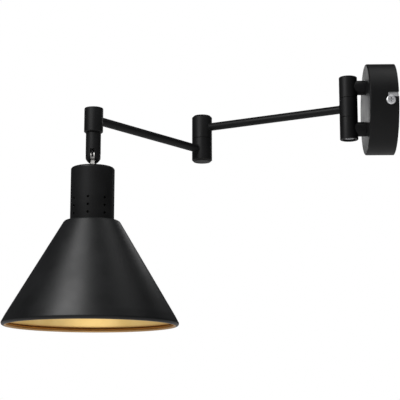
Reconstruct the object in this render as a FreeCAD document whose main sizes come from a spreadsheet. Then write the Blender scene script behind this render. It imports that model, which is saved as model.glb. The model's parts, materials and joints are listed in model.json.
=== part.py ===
import FreeCAD, Part
import math
import os
import re

import Sketcher
from FreeCAD import Placement, Rotation, Vector

# Swing arm wall sconce, millimetres.
# The origin is the centre of the canopy on the wall plane, +Z is up and the lamp stands out along -Y.
# The levels of everything that hangs on the hinge are heights above the inner arm's axis.

CELLS = [
    # wall bracket
    ("strap_width", 22, "height of the bracket strap"),
    ("strap_metal", 2, "thickness of the bracket strip"),
    ("lug_span", 94, "width over the two side lugs"),
    ("lug_reach", 16, "how far the side lugs stand off the wall"),
    ("wall_screw_spacing", 64, "distance between the two wall screw holes"),
    ("wall_screw_hole", 2.75, "radius of a wall screw hole"),
    ("cable_hole", 9, "radius of the supply cable's hole in the strap"),
    # canopy
    ("canopy_radius", 50, "outer radius of the canopy"),
    ("canopy_depth", 30.7, "how far the canopy stands off the wall"),
    ("canopy_metal", 1.5, "thickness of the canopy"),
    ("canopy_edge", 1.4, "rounding of the canopy's front edge"),
    ("slot_width", 5.4, "width of the L-shaped side slots"),
    ("slot_reach", 11.5, "how far a side slot runs in from the open edge"),
    ("slot_level", 4.4, "level of the side slot's entry leg"),
    ("side_screw_level", -2.2, "level of the side screws"),
    ("side_screw_radius", 2.5, "radius of a side screw's thread"),
    ("side_screw_head", 5.2, "radius of a side screw's head"),
    # terminal block
    ("block_offset", 18.5, "distance of the terminal block from the middle"),
    ("block_width", 15, "terminal block width"),
    ("block_height", 20, "terminal block height"),
    ("block_depth", 13, "terminal block depth"),
    # standoffs and the wall hinge
    ("hinge_offset", 49, "distance of the wall hinge's axis from the wall"),
    ("hinge_level", 1.6, "height of the inner arm's axis above the canopy's centre"),
    ("standoff_level", 23.5, "distance of the two standoffs above and below the inner arm's axis"),
    ("standoff_radius", 8, "outer radius of a standoff"),
    ("nipple_radius", 5, "outer radius of the hollow threaded nipples"),
    ("nipple_bore", 3.5, "bore radius of the hollow threaded nipples"),
    ("nut_flats", 14, "width across flats of the nipple nuts"),
    ("knuckle_radius", 10, "outer radius of the wall hinge's knuckles"),
    ("knuckle_end", 35.3, "level of the fixed knuckles' outer ends"),
    ("knuckle_seam", 11.3, "level of the fixed knuckles' inner ends"),
    ("washer_thickness", 0.45, "thickness of the friction washers"),
    ("hinge_gap", 0.05, "clearance of a turning face or shaft"),
    ("bolt_radius", 4, "shank radius of the lower hinge bolt"),
    ("bolt_head", 6, "head radius of the lower hinge bolt"),
    # arms
    ("arm_length", 184, "distance between the axes at the two ends of an arm"),
    ("arm_radius", 4.55, "outer radius of an arm tube"),
    ("arm_bore", 3.55, "bore radius of an arm tube"),
    ("inner_swing", -27.2, "rest angle of the inner arm from straight out, degrees"),
    ("outer_swing", 53.2, "rest angle of the outer arm from straight out, degrees"),
    ("outer_level", -26.55, "level of the outer arm's axis"),
    # elbow
    ("elbow_radius", 11.7, "outer radius of the elbow"),
    ("elbow_cavity", 9, "radius of the room inside each elbow half"),
    ("elbow_half", 27.4, "half the height of the whole elbow"),
    ("elbow_chamfer", 2, "chamfer on the elbow's two ends"),
    ("elbow_lid", 2.2, "thickness of the elbow's flush lids"),
    ("elbow_web", 6, "thickness of the web in each elbow half"),
    # head barrel and swivel stem
    ("head_radius", 9.95, "outer radius of the barrel at the outer arm's end"),
    ("head_half", 13.15, "half the height of the head barrel"),
    ("head_drop", 1.2, "how far the head barrel's middle is below the outer arm's axis"),
    ("head_cavity", 7.4, "radius of the room inside the head barrel"),
    ("head_web", 6.2, "thickness of the web at the head barrel's foot"),
    ("stem_radius", 7.9, "outer radius of the swivel stem"),
    ("stem_bore", 2.2, "bore radius of the swivel stem"),
    ("tilt_level", -66.8, "level of the tilt axis, the centre of the stem's round end"),
    ("fork_slot", 4.6, "width of the slot in the stem's end"),
    ("fork_depth", 7.2, "height of the slot above the tilt axis"),
    ("tongue_width", 4.3, "thickness of the tongue in the slot"),
    ("tongue_radius", 6.3, "radius of the tongue's eye"),
    ("tongue_neck", 8.4, "depth of the tongue's neck, front to back"),
    ("pivot_radius", 1.6, "radius of the tilt screws"),
    ("pivot_head", 3.1, "head radius of the tilt screws"),
    # socket cup
    ("cup_radius", 22.8, "outer radius of the socket cup"),
    ("cup_top", -78.7, "level of the cup's top"),
    ("cup_foot", -135, "level of the cup's open end, where the shade begins"),
    ("cup_metal", 1.5, "thickness of the cup"),
    ("cup_round", 2.6, "rounding of the cup's top edge"),
    ("vent_radius", 1.4, "radius of a vent hole"),
    ("vent_pitch", 7.95, "distance between the rows of vent holes"),
    ("vent_foot", 6, "height of the lowest row above the cup's open end"),
    ("vent_columns", 8, "vent holes around the cup in each row"),
    ("vent_turn", -4.5, "turn of the vent columns, degrees"),
    # lampholder
    ("holder_radius", 19.4, "outer radius of the lampholder"),
    ("holder_bore", 15.8, "inner radius of the lampholder's skirt"),
    ("holder_top", -86, "level of the lampholder's top"),
    ("holder_split", -106, "level where the lampholder's two halves meet"),
    ("holder_foot", -152, "level of the lampholder's open end"),
    ("contact_level", -117, "level of the face that carries the contacts"),
    ("shell_radius", 13.3, "inner radius of the brass screw shell"),
    ("shell_metal", 0.45, "thickness of the screw shell"),
    ("shell_level", -121, "level of the screw shell's upper end"),
    ("shell_length", 24, "length of the screw shell"),
    # shade
    ("shade_hole", 19.7, "radius of the hole in the shade's flat top"),
    ("shade_shoulder", 26.3, "radius where the flat top meets the cone"),
    ("shade_radius", 92.4, "radius where the cone meets the rim's level, before the rim is rounded"),
    ("shade_foot", -243.5, "level of the shade's rim"),
    ("rim_round", 2.5, "rounding of the rim's outer edge"),
    ("shade_metal", 1.2, "thickness of the shade"),
    ("shade_round", 4, "rounding of the shade's shoulder"),
    ("hem_depth", 7.2, "depth of the bead rolled inside the rim"),
    ("hem_height", 4.6, "height of the bead rolled inside the rim"),
    ("hem_round", 1.5, "rounding of the bead's inner edges"),
    ("ring_radius", 23.4, "outer radius of the ring that clamps the shade"),
    # leads
    ("lead_radius", 0.9, "radius of the lead through the arms"),
    ("lead_bend", 3.6, "bend radius of the lead where it turns at a hinge"),
]

# Points that pieces are placed at: x, y, base level and turn about +Z, as formulas of the cells.
INNER_TURN = "inner_swing - 90"
OUTER_TURN = "outer_swing - 90"
ELBOW_X = f"arm_length * cos({INNER_TURN})"
ELBOW_Y = f"arm_length * sin({INNER_TURN}) - hinge_offset"
HEAD_X = f"{ELBOW_X} + arm_length * cos({OUTER_TURN})"
HEAD_Y = f"{ELBOW_Y} + arm_length * sin({OUTER_TURN})"

WALL = ("0", "0", "0", "0")
STANDOFFS = ("0", "0", "hinge_level", "0")
HINGE = ("0", "-hinge_offset", "hinge_level", "0")
HINGE_ON_INNER = ("0", "-hinge_offset", "hinge_level", INNER_TURN)
ELBOW_ON_INNER = (ELBOW_X, ELBOW_Y, "hinge_level", INNER_TURN)
ELBOW_ON_OUTER = (ELBOW_X, ELBOW_Y, "hinge_level", OUTER_TURN)
HEAD_ON_OUTER = (HEAD_X, HEAD_Y, "hinge_level", OUTER_TURN)
HEAD = (HEAD_X, HEAD_Y, "hinge_level", "0")
VENTED = (HEAD_X, HEAD_Y, "hinge_level", "vent_turn")

# Levels that several pieces share.
HINGE_MIDDLE = ("0", "0", "hinge_level")
ELBOW_MIDDLE = "outer_level / 2"
ELBOW_TOP = f"{ELBOW_MIDDLE} + elbow_half"
ELBOW_FOOT = f"{ELBOW_MIDDLE} - elbow_half"
ELBOW_SEAM_HALF = "(washer_thickness / 2 + hinge_gap)"
HEAD_TOP = "outer_level - head_drop + head_half"
HEAD_FOOT = "outer_level - head_drop - head_half"
STEM_TOP = f"{HEAD_FOOT} - washer_thickness - hinge_gap"
SHAFT_TOP = f"{HEAD_FOOT} + 10"
VENT_LEVELS = [f"cup_foot + vent_foot + {row} * vent_pitch" for row in range(3)]

# The way a pocket cuts from a sketch on each plane when it isn't reversed.
PLAIN_CUT = {"XY_Plane": "-Z", "XZ_Plane": "+Y", "YZ_Plane": "-X"}
THROUGH = "300"
GAP = 0.001

doc = FreeCAD.newDocument("wall_sconce")
sheet = doc.addObject("Spreadsheet::Sheet", "Dims")
NODES = []


def fill_sheet():
    for row, (alias, number, note) in enumerate(CELLS, start=1):
        sheet.set(f"A{row}", note)
        sheet.set(f"B{row}", str(number))
        sheet.setAlias(f"B{row}", alias)
    doc.recompute()


ALIASES = {alias for alias, _, _ in CELLS}


def bound(formula):
    """The formula with each cell's alias written the way another object reads it."""
    return re.sub(r"[a-z_]+", lambda word: f"Dims.{word[0]}" if word[0] in ALIASES else word[0], formula)


def value(formula):
    return float(sheet.evalExpression(formula))


# ---------------------------------------------------------------- building blocks


def place(part, station, level="0"):
    x, y, base, turn = station
    level = f"{base} + {level}"
    part.Placement = Placement(Vector(value(x), value(y), value(level)), Rotation(Vector(0, 0, 1), value(turn)))
    part.setExpression("Placement.Base.x", bound(x))
    part.setExpression("Placement.Base.y", bound(y))
    part.setExpression("Placement.Base.z", bound(level))
    part.setExpression("Placement.Rotation.Angle", bound(turn))


def keep(part):
    NODES.append(part)
    return part


def new_body(label, station, level="0"):
    body = doc.addObject("PartDesign::Body", label)
    body.Label = label
    place(body, station, level)
    return body


def new_sketch(body, plane, offset="0"):
    sketch = body.newObject("Sketcher::SketchObject", f"{body.Name}_sketch")
    origin_plane = next(item for item in body.Origin.OriginFeatures if item.Role == plane)
    sketch.AttachmentSupport = [(origin_plane, "")]
    sketch.MapMode = "FlatFace"
    sketch.AttachmentOffset = Placement(Vector(0, 0, value(offset)), Rotation())
    sketch.setExpression("AttachmentOffset.Base.z", bound(offset))
    return sketch


def fix(sketch, kind, geometry, point, formula):
    """Fix one coordinate of a point to a formula of the cells."""
    index = sketch.addConstraint(Sketcher.Constraint(kind, -1, 1, geometry, point, value(formula)))
    sketch.setExpression(f"Constraints[{index}]", bound(formula))


def outline(sketch, corners):
    """A closed outline through corners (x, y). A corner on the upright axis with a third item, "ball",
    starts a quarter circle that rises to the next corner."""
    count = len(corners)
    first = sketch.GeometryCount
    places = [Vector(value(corner[0]), value(corner[1]), 0) for corner in corners]
    for index, corner in enumerate(corners):
        start = places[index]
        end = places[(index + 1) % count]
        if len(corner) == 3:
            ball = Part.Circle(Vector(0, end.y, 0), Vector(0, 0, 1), end.x)
            sketch.addGeometry(Part.ArcOfCircle(ball, -math.pi / 2, 0), False)
        else:
            sketch.addGeometry(Part.LineSegment(start, end), False)
    for index in range(count):
        after = (index + 1) % count
        sketch.addConstraint(Sketcher.Constraint("Coincident", first + index, 2, first + after, 1))
    for index, corner in enumerate(corners):
        fix(sketch, "DistanceX", first + index, 1, corner[0])
        fix(sketch, "DistanceY", first + index, 1, corner[1])
        if len(corner) == 3:
            fix(sketch, "DistanceX", first + index, 3, "0")
    return sketch


def rectangle(sketch, x_low, x_high, y_low, y_high):
    return outline(sketch, [(x_low, y_low), (x_high, y_low), (x_high, y_high), (x_low, y_high)])


def hexagon(sketch, flats, x="0", y="0"):
    reach = f"{flats} / 2 / cos(30)"
    turns = range(0, 360, 60)
    return outline(sketch, [(f"{x} + {reach} * cos({turn})", f"{y} + {reach} * sin({turn})") for turn in turns])


def circle(sketch, radius, x="0", y="0"):
    centre = Vector(value(x), value(y), 0)
    index = sketch.addGeometry(Part.Circle(centre, Vector(0, 0, 1), value(radius)), False)
    fix(sketch, "DistanceX", index, 3, x)
    fix(sketch, "DistanceY", index, 3, y)
    size = sketch.addConstraint(Sketcher.Constraint("Radius", index, value(radius)))
    sketch.setExpression(f"Constraints[{size}]", bound(radius))
    return sketch


def revolve(body, corners, plane="XZ_Plane"):
    """Turn an outline of (radius, level) corners about the sketch's upright axis."""
    sketch = outline(new_sketch(body, plane), corners)
    turned = body.newObject("PartDesign::Revolution", f"{body.Name}_revolution")
    turned.Profile = sketch
    turned.ReferenceAxis = (sketch, ["V_Axis"])
    turned.Angle = 360
    doc.recompute()
    return turned


def pad(body, sketch, length, both_ways=False, reverse=False):
    block = body.newObject("PartDesign::Pad", f"{body.Name}_pad")
    block.Profile = sketch
    block.Length = value(length)
    block.setExpression("Length", bound(length))
    block.SideType = "Symmetric" if both_ways else "One side"
    block.Reversed = reverse
    doc.recompute()
    return block


def cut(body, sketch, toward=None, depth=THROUGH):
    """Pocket a sketch toward one side, or both ways, and make sure that it took metal away."""
    before = body.Shape.Volume
    pocket = body.newObject("PartDesign::Pocket", f"{body.Name}_pocket")
    pocket.Profile = sketch
    pocket.Length = value(depth)
    pocket.setExpression("Length", bound(depth))
    if toward is None:
        pocket.SideType = "Symmetric"
    else:
        pocket.Reversed = toward != PLAIN_CUT[sketch.AttachmentSupport[0][0].Role]
    doc.recompute()
    if body.Shape.Volume > before - GAP:
        raise RuntimeError(f"{body.Label}: a pocket cuts nothing")
    return pocket


def rings(feature, radius, level, axis=2):
    """Names of the round edges of one radius at one level along an axis."""
    names = []
    for index, edge in enumerate(feature.Shape.Edges, start=1):
        if edge.Degenerated or not isinstance(edge.Curve, Part.Circle):
            continue
        curve = edge.Curve
        if abs(curve.Radius - value(radius)) < GAP and abs(curve.Center[axis] - value(level)) < GAP:
            names.append(f"Edge{index}")
    if not names:
        raise RuntimeError(f"{feature.Label}: no edge at {radius}, {level}")
    return names


def soften(body, kind, edges, size):
    """Fillet or chamfer some edges of the body's last feature."""
    base = body.Tip
    feature = body.newObject(f"PartDesign::{kind}", f"{body.Name}_{kind.lower()}")
    feature.Base = (base, edges)
    member = "Radius" if kind == "Fillet" else "Size"
    setattr(feature, member, value(size))
    feature.setExpression(member, bound(size))
    doc.recompute()
    return feature


def around(body, feature, count):
    """Repeat a feature about the body's upright axis."""
    pattern = body.newObject("PartDesign::PolarPattern", f"{body.Name}_pattern")
    pattern.Originals = [feature]
    pattern.Axis = (feature.Profile[0], ["V_Axis"])
    pattern.Angle = 360
    pattern.Occurrences = int(value(count))
    pattern.setExpression("Occurrences", bound(count))
    body.Tip = pattern
    doc.recompute()
    return pattern


def with_twin(label, part, normal, base=("0", "0", "0")):
    """A node of two equal pieces: the part and its mirror image."""
    part.Label = f"{label}_first"
    twin = doc.addObject("Part::Mirroring", f"{label}_second")
    twin.Source = part
    twin.Normal = normal
    for axis, formula in zip("xyz", base):
        twin.setExpression(f"Base.{axis}", bound(formula))
    return group(label, [part, twin])


def group(label, parts):
    together = doc.addObject("Part::Compound", label)
    together.Label = label
    together.Links = parts
    doc.recompute()
    return keep(together)


def turned_piece(label, station, corners, level="0"):
    body = new_body(label, station, level)
    revolve(body, corners)
    return keep(body)


def ring_corners(bore, radius, low, high):
    return [(bore, low), (radius, low), (radius, high), (bore, high)]


def lead(label, station, points, bends):
    """A round lead along straight runs joined by tangent arcs, in the station's own directions."""
    corners = [Vector(*[value(number) for number in point]) for point in points]
    edges = []
    start = corners[0]
    for before, corner, after, bend in zip(corners, corners[1:], corners[2:], bends):
        inward = (corner - before).normalize()
        outward = (after - corner).normalize()
        turn = inward.getAngle(outward)
        reach = value(bend) * math.tan(turn / 2)
        arc_start = corner - inward * reach
        arc_end = corner + outward * reach
        middle = (outward - inward).normalize() * (value(bend) * (1 / math.cos(turn / 2) - 1))
        edges.append(Part.LineSegment(start, arc_start).toShape())
        edges.append(Part.Arc(arc_start, corner + middle, arc_end).toShape())
        start = arc_end
    edges.append(Part.LineSegment(start, corners[-1]).toShape())
    path = Part.Wire(edges)
    radius = value("lead_radius")
    along = (corners[1] - corners[0]).normalize()
    section = Part.Wire([Part.Circle(corners[0], along, radius).toShape()])
    tube = doc.addObject("Part::Feature", label)
    tube.Label = label
    tube.Shape = path.makePipeShell([section], True, True)
    expected = math.pi * radius**2 * path.Length
    if abs(tube.Shape.Volume - expected) > expected / 100:
        raise RuntimeError(f"{label}: volume {tube.Shape.Volume:.1f}, expected {expected:.1f}")
    place(tube, station)
    return keep(tube)


# ---------------------------------------------------------------- wall plate and canopy


def wall_bracket():
    """A bent strip: a strap on the wall and a lug at each end for the canopy's side screws."""
    body = keep(new_body("wall_bracket", WALL))
    edge = "lug_span / 2"
    inside = f"{edge} - strap_metal"
    sketch = outline(new_sketch(body, "XY_Plane"), [
        (f"-({edge})", "0"), (edge, "0"), (edge, "-lug_reach"), (inside, "-lug_reach"),
        (inside, "-strap_metal"), (f"-({inside})", "-strap_metal"),
        (f"-({inside})", "-lug_reach"), (f"-({edge})", "-lug_reach"),
    ])
    strip = pad(body, sketch, "strap_width", both_ways=True)
    bends = []
    for index, line in enumerate(strip.Shape.Edges, start=1):
        low, high = line.BoundBox.ZMin, line.BoundBox.ZMax
        corner = line.CenterOfMass
        if high - low > 1 and abs(abs(corner.x) - value(edge)) < GAP and abs(corner.y) < GAP:
            bends.append(f"Edge{index}")
    soften(body, "Fillet", bends, "strap_metal - 0.2")
    for side in ("-", ""):
        hole = circle(new_sketch(body, "XZ_Plane"), "wall_screw_hole", f"{side}wall_screw_spacing / 2")
        cut(body, hole)
    cut(body, circle(new_sketch(body, "XZ_Plane"), "cable_hole"))
    reach = "-(slot_reach - slot_width / 2)"
    cut(body, circle(new_sketch(body, "YZ_Plane"), "side_screw_radius", reach, "side_screw_level"))


def canopy_cup():
    """A round cup, open to the wall, with two nipple holes and an L-shaped slot in each side."""
    body = keep(new_body("canopy_cup", WALL))
    front = "-canopy_depth"
    inner = "canopy_radius - canopy_metal"
    cup = revolve(body, [
        ("0", front), ("canopy_radius", front), ("canopy_radius", "0"),
        (inner, "0"), (inner, f"{front} + canopy_metal"), ("0", f"{front} + canopy_metal"),
    ], "XY_Plane")
    soften(body, "Fillet", rings(cup, "canopy_radius", front, 1), "canopy_edge")
    for side in ("-", ""):
        level = f"hinge_level + {side}standoff_level"
        cut(body, circle(new_sketch(body, "XZ_Plane"), "nipple_radius + 0.2", "0", level))
    leg = "slot_width / 2"
    slot = outline(new_sketch(body, "YZ_Plane"), [
        ("1", f"slot_level + {leg}"), ("-slot_reach", f"slot_level + {leg}"),
        ("-slot_reach", f"side_screw_level - {leg}"), ("slot_width - slot_reach", f"side_screw_level - {leg}"),
        ("slot_width - slot_reach", f"slot_level - {leg}"), ("1", f"slot_level - {leg}"),
    ])
    cut(body, slot)


def cross_recess(body, offset, reach, half_width, toward, depth, plane="XY_Plane", x="0", y="0"):
    """A cross-shaped driver recess."""
    quarter = [(half_width, reach), (half_width, half_width), (reach, half_width)]
    signs = [(1, 1), (1, -1), (-1, -1), (-1, 1)]
    corners = []
    for index, (sign_x, sign_y) in enumerate(signs):
        ordered = quarter if index % 2 == 0 else quarter[::-1]
        corners += [(f"{x} + {sign_x * dx}", f"{y} + {sign_y * dy}") for dx, dy in ordered]
    cut(body, outline(new_sketch(body, plane, offset), corners), toward, depth)


def canopy_side_screws():
    """Two pan-head machine screws that hold the canopy on the bracket's lugs."""
    body = new_body("canopy_side_screw", WALL)
    reach = "slot_width / 2 - slot_reach"
    seat = "canopy_radius + 0.05"
    shank = circle(new_sketch(body, "YZ_Plane", seat), "side_screw_radius", reach, "side_screw_level")
    pad(body, shank, "10", reverse=True)
    head = circle(new_sketch(body, "YZ_Plane", seat), "side_screw_head", reach, "side_screw_level")
    top = pad(body, head, "2.4")
    soften(body, "Fillet", rings(top, "side_screw_head", "canopy_radius + 2.45", 0), "1.6")
    cross_recess(body, "canopy_radius + 2.45", 2.3, 0.5, "-X", "1.5", "YZ_Plane", reach, "side_screw_level")
    with_twin("canopy_side_screws", body, Vector(1, 0, 0))


def terminal_block():
    """A two-way terminal block on the strap, with wire entries above and below and its four screws."""
    body = keep(new_body("terminal_block", WALL))
    left = "-block_offset - block_width / 2"
    right = "-block_offset + block_width / 2"
    base = new_sketch(body, "XZ_Plane", "strap_metal")
    pad(body, rectangle(base, left, right, "-block_height / 2", "block_height / 2"), "block_depth")
    entry_depth = "-strap_metal - block_depth / 2"
    screws = []
    for way in ("- 3.4", "+ 3.4"):
        for end, toward in (("", "-Z"), ("-", "+Z")):
            entry = new_sketch(body, "XY_Plane", f"{end}block_height / 2")
            cut(body, circle(entry, "1.6", f"-block_offset {way}", entry_depth), toward, "6")
            hole = new_sketch(body, "XZ_Plane", "strap_metal + block_depth")
            cut(body, circle(hole, "1.5", f"-block_offset {way}", f"{end}block_height / 2 * 0.55"), "+Y", "5")
            screw = doc.addObject("Part::Cylinder", "terminal_screw")
            screw.Radius = 1.5
            screw.Height = 3.6
            corner = (f"-block_offset {way}", "-strap_metal - block_depth + 4.6", f"{end}block_height / 2 * 0.55")
            screw.Placement = Placement(Vector(*[value(item) for item in corner]), Rotation(Vector(1, 0, 0), 90))
            for axis, formula in zip("xyz", corner):
                screw.setExpression(f"Placement.Base.{axis}", bound(formula))
            screws.append(screw)
    group("terminal_screws", screws)


def earth_screw():
    """The earth terminal: a brass screw standing on the strap."""
    body = keep(new_body("earth_screw", WALL))
    washer = circle(new_sketch(body, "XZ_Plane", "strap_metal"), "3.8", "block_offset", "0")
    pad(body, washer, "0.8")
    head = circle(new_sketch(body, "XZ_Plane", "strap_metal + 0.8"), "3.4", "block_offset", "0")
    pad(body, head, "2.2")
    cross_recess(body, "strap_metal + 3", 1.8, 0.4, "+Y", "1.2", "XZ_Plane", "block_offset", "0")


# ---------------------------------------------------------------- standoffs and the wall hinge


def standoff(label, level):
    """A round bar coped to the hinge knuckle, tapped for a nipple and bored for the lead."""
    body = keep(new_body(label, STANDOFFS, level))
    length = "hinge_offset - canopy_depth"
    pad(body, circle(new_sketch(body, "XZ_Plane", "canopy_depth"), "standoff_radius"), length)
    cut(body, circle(new_sketch(body, "XY_Plane"), "knuckle_radius", "0", "-hinge_offset"))
    cut(body, circle(new_sketch(body, "XZ_Plane", "canopy_depth"), "nipple_radius"), "-Y", "6.5")
    cut(body, circle(new_sketch(body, "XZ_Plane"), "nipple_bore"))


def standoff_nipples():
    """Two hollow threaded nipples through the canopy's face into the standoffs."""
    body = new_body("standoff_nipple", STANDOFFS, "standoff_level")
    sketch = new_sketch(body, "XZ_Plane", "canopy_depth + 6.5")
    circle(sketch, "nipple_radius")
    circle(sketch, "nipple_bore")
    pad(body, sketch, "14", reverse=True)
    with_twin("standoff_nipples", body, Vector(0, 0, 1), HINGE_MIDDLE)


def standoff_washers_and_nuts():
    """The lock washers and hexagon nuts that pull the nipples tight inside the canopy."""
    face = "canopy_depth - canopy_metal"
    washer = new_body("standoff_washer", STANDOFFS, "standoff_level")
    sketch = new_sketch(washer, "XZ_Plane", face)
    circle(sketch, "nut_flats / 2 + 1")
    circle(sketch, "nipple_radius")
    pad(washer, sketch, "0.8", reverse=True)
    with_twin("standoff_washers", washer, Vector(0, 0, 1), HINGE_MIDDLE)
    nut = new_body("standoff_nut", STANDOFFS, "standoff_level")
    sketch = new_sketch(nut, "XZ_Plane", f"{face} - 0.8")
    hexagon(sketch, "nut_flats")
    circle(sketch, "nipple_radius")
    pad(nut, sketch, "3", reverse=True)
    with_twin("standoff_nuts", nut, Vector(0, 0, 1), HINGE_MIDDLE)


def upper_knuckle():
    """The fixed upper knuckle, with its lead room, its lid seat and the way in from the standoff."""
    body = keep(new_body("upper_knuckle", HINGE))
    knuckle = revolve(body, [
        ("nipple_radius", "knuckle_seam"), ("knuckle_radius", "knuckle_seam"), ("knuckle_radius", "knuckle_end"),
        ("6.8", "knuckle_end"), ("6.8", "knuckle_end - 2"), ("6.3", "knuckle_end - 2"),
        ("6.3", "knuckle_seam + 6"), ("nipple_radius", "knuckle_seam + 6"),
    ])
    soften(body, "Fillet", rings(knuckle, "knuckle_radius", "knuckle_end"), "0.6")
    cut(body, circle(new_sketch(body, "XZ_Plane"), "nipple_bore", "0", "standoff_level"), "+Y", "knuckle_radius + 1")
    turned_piece("upper_knuckle_lid", HINGE, ring_corners("0", "6.8", "knuckle_end - 2", "knuckle_end"))


def lower_knuckle():
    """The fixed lower knuckle, counterbored from below for the hinge bolt's head."""
    body = keep(new_body("lower_knuckle", HINGE))
    foot = "-knuckle_end"
    knuckle = revolve(body, [
        ("bolt_radius", "-knuckle_seam"), ("knuckle_radius", "-knuckle_seam"), ("knuckle_radius", foot),
        ("bolt_head + 1", foot), ("bolt_head + 1", f"{foot} + 6"), ("bolt_radius", f"{foot} + 6"),
    ])
    soften(body, "Fillet", rings(knuckle, "knuckle_radius", foot), "0.6")


def hinge_pins():
    """The hollow upper pivot, which passes the lead, and the bolt that is the lower pivot."""
    corners = ring_corners("nipple_bore", "nipple_radius", "knuckle_seam - 7.6", "knuckle_seam + 6")
    turned_piece("hinge_nipple", HINGE, corners)
    body = keep(new_body("hinge_bolt", HINGE))
    foot = "-knuckle_end"
    bolt = revolve(body, [
        ("0", f"{foot} + 1.4"), ("bolt_head", f"{foot} + 1.4"), ("bolt_head", f"{foot} + 6"),
        ("bolt_radius", f"{foot} + 6"), ("bolt_radius", "7.6 - knuckle_seam"), ("0", "7.6 - knuckle_seam"),
    ])
    soften(body, "Chamfer", rings(bolt, "bolt_head", f"{foot} + 1.4"), "0.8")
    cut(body, hexagon(new_sketch(body, "XY_Plane", f"{foot} + 1.4"), "5"), "+Z", "3")
    washer_low = "knuckle_seam - washer_thickness"
    washer = new_body("hinge_washer", HINGE)
    revolve(washer, ring_corners("nipple_radius + 0.2", "knuckle_radius - 1", washer_low, "knuckle_seam"))
    with_twin("hinge_washers", washer, Vector(0, 0, 1), HINGE_MIDDLE)


def wall_lead():
    """The lead from the terminal block through the upper standoff to the hinge axis."""
    above_block = "hinge_level + standoff_level"
    depth = "-strap_metal - block_depth / 2"
    column = "-block_offset + 3.4"
    lead("wall_lead", WALL, [
        (column, depth, "block_height / 2 - 5"), (column, depth, above_block), ("0", depth, above_block),
        ("0", "-hinge_offset", above_block), ("0", "-hinge_offset", "hinge_level + 5.2"),
    ], ["6", "6", "lead_bend"])


# ---------------------------------------------------------------- inner arm


def inner_knuckle():
    """The moving middle knuckle: running bores above and below, and room for the lead between."""
    body = keep(new_body("inner_knuckle", HINGE_ON_INNER))
    face = "knuckle_seam - washer_thickness - hinge_gap"
    room = "arm_radius - 0.25"
    revolve(body, [
        ("bolt_radius + hinge_gap", f"-({face})"), ("knuckle_radius", f"-({face})"), ("knuckle_radius", face),
        ("nipple_radius + hinge_gap", face), ("nipple_radius + hinge_gap", room), ("7.5", room),
        ("7.5", f"-({room})"), ("bolt_radius + hinge_gap", f"-({room})"),
    ])
    cut(body, circle(new_sketch(body, "YZ_Plane"), "arm_radius"), "+X", "knuckle_radius + 1")


def arm_tube(label, turn, start_x, start_y, level, near, far):
    """A straight round tube whose two ends sit in the walls of the barrels."""
    start_x = f"{start_x} + ({near}) * cos({turn})"
    start_y = f"{start_y} + ({near}) * sin({turn})"
    station = (start_x, start_y, "hinge_level", turn)
    body = keep(new_body(label, station, level))
    sketch = new_sketch(body, "YZ_Plane")
    circle(sketch, "arm_radius")
    circle(sketch, "arm_bore")
    pad(body, sketch, f"arm_length - ({near}) - ({far})")


def elbow_barrel(label, station, end, seam, web_end, bore, arm_level, toward):
    """One half of the elbow: a web around the pivot and an open end that its lid closes."""
    body = keep(new_body(label, station))
    up = "1" if value(end) > value(seam) else "-1"
    shoulder = f"{end} - ({up}) * elbow_lid"
    barrel = revolve(body, [
        (bore, seam), ("elbow_radius", seam), ("elbow_radius", end), ("elbow_cavity + 0.4", end),
        ("elbow_cavity + 0.4", shoulder), ("elbow_cavity", shoulder), ("elbow_cavity", web_end), (bore, web_end),
    ])
    soften(body, "Chamfer", rings(barrel, "elbow_radius", end), "elbow_chamfer")
    cut(body, circle(new_sketch(body, "YZ_Plane"), "arm_radius", "0", arm_level), toward, "elbow_radius + 1")


def elbow_on_inner_arm():
    """The elbow's upper half with its lid, hollow pivot, nut and the washer in the seam."""
    seam = f"{ELBOW_MIDDLE} + {ELBOW_SEAM_HALF}"
    web_end = f"{seam} + elbow_web"
    elbow_barrel("elbow_upper_barrel", ELBOW_ON_INNER, ELBOW_TOP, seam, web_end, "nipple_radius", "0", "-X")
    lid = ring_corners("0", "elbow_cavity + 0.4", f"{ELBOW_TOP} - elbow_lid", ELBOW_TOP)
    turned_piece("elbow_top_lid", ELBOW_ON_INNER, lid)
    pivot_foot = f"{ELBOW_MIDDLE} - {ELBOW_SEAM_HALF} - elbow_web - 4.2"
    pivot = ring_corners("nipple_bore", "nipple_radius", pivot_foot, f"{web_end} + 1")
    turned_piece("elbow_nipple", ELBOW_ON_INNER, pivot)
    nut_top = f"{ELBOW_MIDDLE} - {ELBOW_SEAM_HALF} - elbow_web - 0.8"
    nut = keep(new_body("elbow_nut", ELBOW_ON_INNER))
    sketch = new_sketch(nut, "XY_Plane", nut_top)
    hexagon(sketch, "nut_flats")
    circle(sketch, "nipple_radius")
    pad(nut, sketch, "2.8", reverse=True)
    washer_top = f"{nut_top} + 0.7"
    nut_washer = ring_corners("nipple_radius", "8", nut_top, washer_top)
    turned_piece("elbow_spring_washer", ELBOW_ON_INNER, nut_washer)
    seam_washer = ring_corners("nipple_radius", "elbow_radius - 1", f"{seam} - washer_thickness", seam)
    turned_piece("elbow_seam_washer", ELBOW_ON_INNER, seam_washer)


def inner_arm_lead():
    pivot_foot = f"{ELBOW_MIDDLE} - {ELBOW_SEAM_HALF} - elbow_web"
    lead("inner_arm_lead", HINGE_ON_INNER, [
        ("0", "0", "4.8"), ("0", "0", "0"), ("arm_length", "0", "0"), ("arm_length", "0", pivot_foot),
    ], ["lead_bend", "lead_bend"])


# ---------------------------------------------------------------- outer arm


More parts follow.
